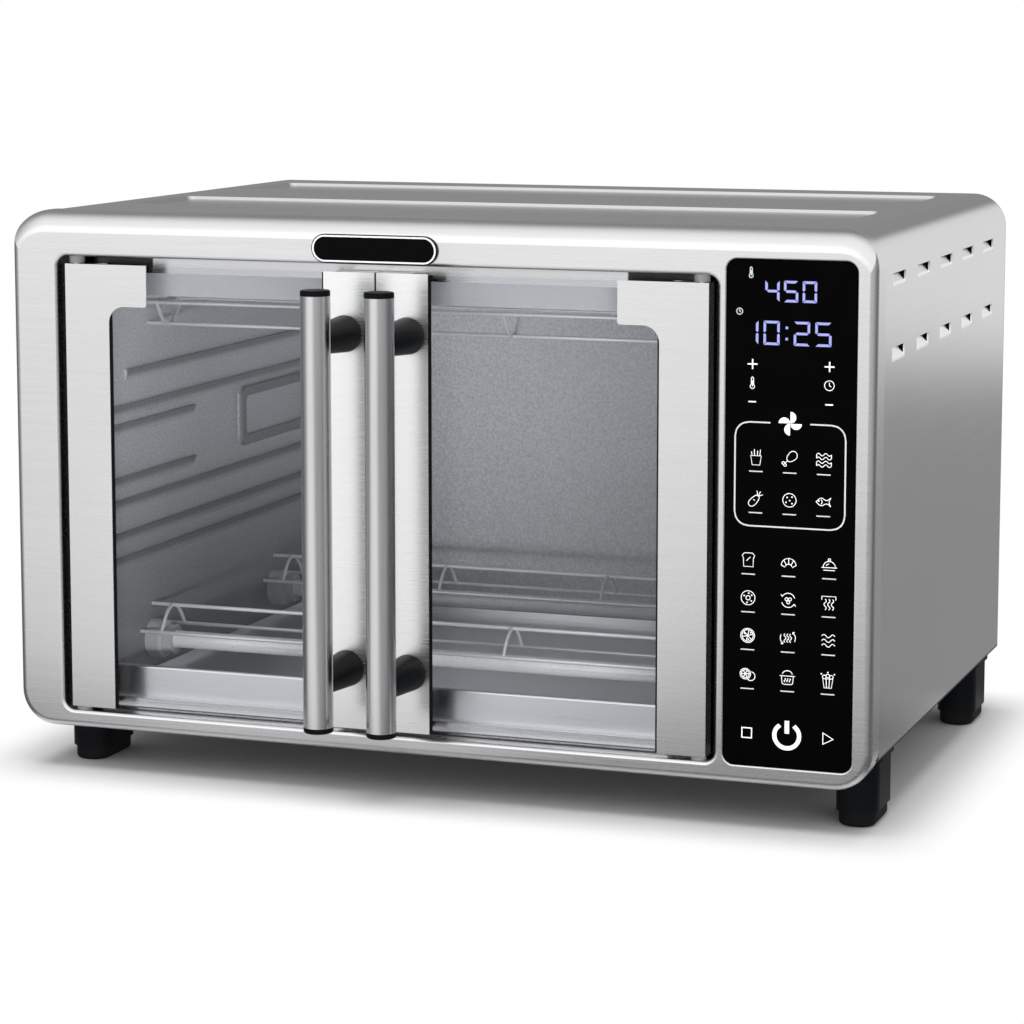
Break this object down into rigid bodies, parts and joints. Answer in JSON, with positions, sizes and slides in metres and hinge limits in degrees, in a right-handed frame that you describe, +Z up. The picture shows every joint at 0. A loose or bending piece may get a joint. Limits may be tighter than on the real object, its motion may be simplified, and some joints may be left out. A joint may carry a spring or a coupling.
{
  "type": "toaster oven",
  "caption": "Countertop toaster oven with paired side-hinged glass doors linked to open together, upright tube handles and a black touch panel beside the doors.",
  "frame": {"origin": "on the table, below the middle of the overall box, doors closed and tray pushed in", "axes": "+X to the right as seen from the front, +Y from the front to the rear, +Z up"},
  "size_m": [0.49, 0.3907, 0.314],
  "materials": {
    "brushed_steel": "stainless steel brushed along the width",
    "cavity_steel": "plain coated sheet",
    "plated_steel": "bright plated",
    "heater_sheath": "dull metal sheath",
    "ceramic": "white ceramic",
    "black_glass": "black polished glass",
    "door_glass": "clear, lightly tinted",
    "black_plastic": "satin moulded",
    "black_rubber": "matt",
    "pale_plastic": "moulded",
    "display": "dark lens",
    "circuit_board": "solder mask",
    "motor_housing": "laminated core",
    "magnet": "sintered",
    "fan_aluminium": "pressed sheet"
  },
  "bodies": {
    "housing": {"front_fascia": "brushed_steel", "outer_shell": "brushed_steel", "rear_panel": "cavity_steel", "rear_screws": "plated_steel", "cord_gland": "black_plastic", "base_panel": "cavity_steel", "front_feet": "black_plastic", "rear_feet": "black_plastic", "foot_pads": "black_rubber", "foot_screws": "plated_steel", "badge_plate": "brushed_steel", "control_panel_glass": "black_glass", "panel_carrier": "black_plastic", "display_module": "display", "control_board": "circuit_board", "power_board": "circuit_board", "cavity_front_frame": "cavity_steel", "cavity_left_wall": "cavity_steel", "cavity_right_wall": "cavity_steel", "cavity_roof": "cavity_steel", "cavity_floor": "cavity_steel", "cavity_back_wall": "cavity_steel", "lower_heaters": "heater_sheath", "upper_heaters": "heater_sheath", "heater_insulators": "ceramic", "lower_guards": "plated_steel", "upper_guards": "plated_steel", "hinge_bushes": "pale_plastic", "linkage_plate": "cavity_steel", "link_guides": "black_plastic", "door_magnets": "magnet", "fan_shroud": "cavity_steel", "motor_bracket": "cavity_steel", "fan_motor": "motor_housing", "temperature_probe": "plated_steel", "thermal_cutout": "pale_plastic"},
    "left_door": {"left_hinge_stile": "brushed_steel", "left_centre_stile": "brushed_steel", "left_glass": "door_glass", "left_glass_seals": "black_rubber", "left_handle_tube": "brushed_steel", "left_handle_caps": "black_plastic", "left_handle_standoffs": "black_plastic", "left_hinge_pins": "plated_steel"},
    "right_door": {"right_hinge_stile": "brushed_steel", "right_centre_stile": "brushed_steel", "right_glass": "door_glass", "right_glass_seals": "black_rubber", "right_handle_tube": "brushed_steel", "right_handle_caps": "black_plastic", "right_handle_standoffs": "black_plastic", "right_hinge_pins": "plated_steel"},
    "rocker_arm": {"rocker": "plated_steel"},
    "left_link_bar": {"left_link": "plated_steel"},
    "right_link_bar": {"right_link": "plated_steel"},
    "fan_rotor": {"fan_shaft": "plated_steel", "convection_fan": "fan_aluminium", "cooling_fan": "fan_aluminium"},
    "tray": {"crumb_tray": "cavity_steel"}
  },
  "joints": [
    {"name": "left_door_hinge", "type": "hinge", "parent": "housing", "child": "left_door", "pos_m": [-0.2075, -0.14315, 0.16065], "axis": [0, 0, -1], "range_deg": [0, 100]},
    {"name": "right_door_hinge", "type": "hinge", "parent": "housing", "child": "right_door", "pos_m": [0.1516, -0.14315, 0.16065], "axis": [0, 0, 1], "range_deg": [0, 100]},
    {"name": "rocker_pivot", "type": "hinge", "parent": "housing", "child": "rocker_arm", "pos_m": [-0.02795, -0.12344, 0.293], "axis": [0, 0, -1], "range_deg": [0, 100]},
    {"name": "left_link_slide", "type": "slide", "parent": "housing", "child": "left_link_bar", "axis": [1, 0, 0], "range_m": [0, 0.0184]},
    {"name": "right_link_slide", "type": "slide", "parent": "housing", "child": "right_link_bar", "axis": [-1, 0, 0], "range_m": [0, 0.0184]},
    {"name": "fan_spin", "type": "hinge", "parent": "housing", "child": "fan_rotor", "pos_m": [0.1474, 0.01135, 0.1603], "axis": [1, 0, 0], "continuous": true},
    {"name": "crumb_tray_slide", "type": "slide", "parent": "housing", "child": "tray", "axis": [0, -1, 0], "range_m": [0, 0.008]}
  ],
  "couplings": [
    {"joint": "right_door_hinge", "follows": "left_door_hinge", "ratio": 1},
    {"joint": "rocker_pivot", "follows": "left_door_hinge", "ratio": 1},
    {"joint": "left_link_slide", "follows": "left_door_hinge", "m_per_rad": 0.010534},
    {"joint": "right_link_slide", "follows": "left_door_hinge", "m_per_rad": 0.010534}
  ]
}
